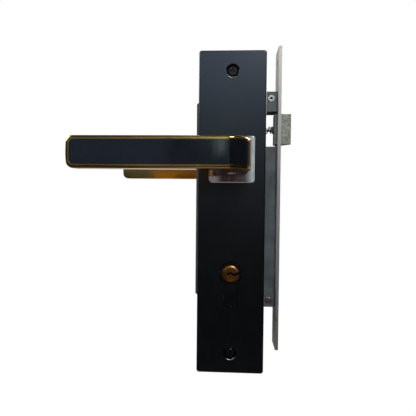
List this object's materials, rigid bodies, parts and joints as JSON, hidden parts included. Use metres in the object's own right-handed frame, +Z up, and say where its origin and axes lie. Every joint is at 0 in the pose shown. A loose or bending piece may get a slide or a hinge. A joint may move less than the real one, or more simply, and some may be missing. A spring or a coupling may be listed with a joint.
{
  "type": "door handle lockset",
  "caption": "Mortise lock with forend, spring latch, deadbolt and euro-profile cylinder, between long plates with straight lever handles.",
  "frame": {"origin": "middle of the forend's two fixing screws, on the forend's outer face", "axes": "+X out of the door's edge, +Y from the front plate to the rear plate, +Z up"},
  "size_m": [0.1531, 0.154, 0.2495],
  "materials": {
    "plate_black": "satin blue-black lacquer",
    "lever_gold": "polished champagne gold",
    "inlay_black": "satin black",
    "rose_chrome": "polished",
    "nylon_white": "moulded",
    "spring_steel": "drawn wire",
    "zinc_plated": "zinc plated",
    "case_grey": "satin grey lacquer",
    "forend_steel": "brushed",
    "latch_zinc": "cast, tumbled",
    "bolt_black": "blackened",
    "rivet_bright": "turned",
    "cylinder_black": "gloss black",
    "plug_brass": "turned"
  },
  "bodies": {
    "lock": {"lock_case": "case_grey", "case_cover": "case_grey", "case_rivets": "rivet_bright", "forend": "forend_steel", "forend_rivets": "zinc_plated", "latch_guide": "zinc_plated", "follower_spring": "spring_steel", "tumbler_spring": "spring_steel", "front_plate": "plate_black", "rear_plate": "plate_black", "front_rose": "rose_chrome", "rear_rose": "rose_chrome", "front_bush": "nylon_white", "rear_bush": "nylon_white", "front_handle_spring": "spring_steel", "rear_handle_spring": "spring_steel", "plate_bolts": "bolt_black", "bolt_sleeves": "zinc_plated", "cylinder_body": "cylinder_black", "driver_pins": "plug_brass", "pin_springs": "spring_steel", "chamber_plugs": "plug_brass", "fixing_screw": "zinc_plated", "latch_spring": "spring_steel"},
    "handles": {"front_lever": "lever_gold", "rear_lever": "lever_gold", "front_lever_inlay": "inlay_black", "rear_lever_inlay": "inlay_black", "front_grub_screw": "bolt_black", "rear_grub_screw": "bolt_black", "front_spring_driver": "zinc_plated", "rear_spring_driver": "zinc_plated", "front_circlip": "spring_steel", "rear_circlip": "spring_steel", "spindle": "zinc_plated", "follower": "zinc_plated"},
    "latch": {"latch_head": "latch_zinc", "latch_rod": "zinc_plated", "latch_hook": "zinc_plated"},
    "deadbolt": {"deadbolt_head": "forend_steel", "deadbolt_tail": "zinc_plated", "deadbolt_pins": "zinc_plated"},
    "front_plug": {"front_plug": "plug_brass", "front_key_pins": "plug_brass", "front_plug_clip": "spring_steel"},
    "rear_plug": {"rear_plug": "plug_brass", "rear_key_pins": "plug_brass", "rear_plug_clip": "spring_steel"},
    "cam": {"cam": "latch_zinc", "cam_coupling": "plug_brass"},
    "tumbler": {"tumbler": "zinc_plated"}
  },
  "joints": [
    {"name": "handle_turn", "type": "hinge", "parent": "lock", "child": "handles", "pos_m": [-0.038, 0, 0.0295], "axis": [0, -1, 0], "range_deg": [0, 40], "stiffness_Nm_per_rad": 1.2, "springref_deg": -40.11, "deforming": ["front_handle_spring", "rear_handle_spring", "follower_spring"]},
    {"name": "latch_slide", "type": "slide", "parent": "lock", "child": "latch", "axis": [1, 0, 0], "range_m": [-0.0091, 0], "deforming": ["latch_spring"]},
    {"name": "key_turn", "type": "hinge", "parent": "lock", "child": "front_plug", "pos_m": [-0.038, 0, -0.0555], "axis": [0, 1, 0], "range_deg": [-1, 361]},
    {"name": "cam_turn", "type": "hinge", "parent": "lock", "child": "cam", "pos_m": [-0.038, 0, -0.0555], "axis": [0, 1, 0], "range_deg": [-1, 361]},
    {"name": "deadbolt_slide", "type": "slide", "parent": "lock", "child": "deadbolt", "axis": [1, 0, 0], "range_m": [0, 0.02]},
    {"name": "rear_key_turn", "type": "hinge", "parent": "lock", "child": "rear_plug", "pos_m": [-0.038, 0, -0.0555], "axis": [0, 1, 0], "range_deg": [0, 360]},
    {"name": "tumbler_lift", "type": "hinge", "parent": "lock", "child": "tumbler", "pos_m": [-0.06, 0, -0.0035], "axis": [0, -1, 0], "range_deg": [0, 6], "stiffness_Nm_per_rad": 0.02, "springref_deg": -17.19, "deforming": ["tumbler_spring"]}
  ],
  "couplings": [
    {"joint": "latch_slide", "follows": "handle_turn", "m_per_rad": -0.012892},
    {"joint": "key_turn", "follows": "deadbolt_slide", "rad_per_m": 314.16},
    {"joint": "cam_turn", "follows": "deadbolt_slide", "rad_per_m": 314.16}
  ]
}
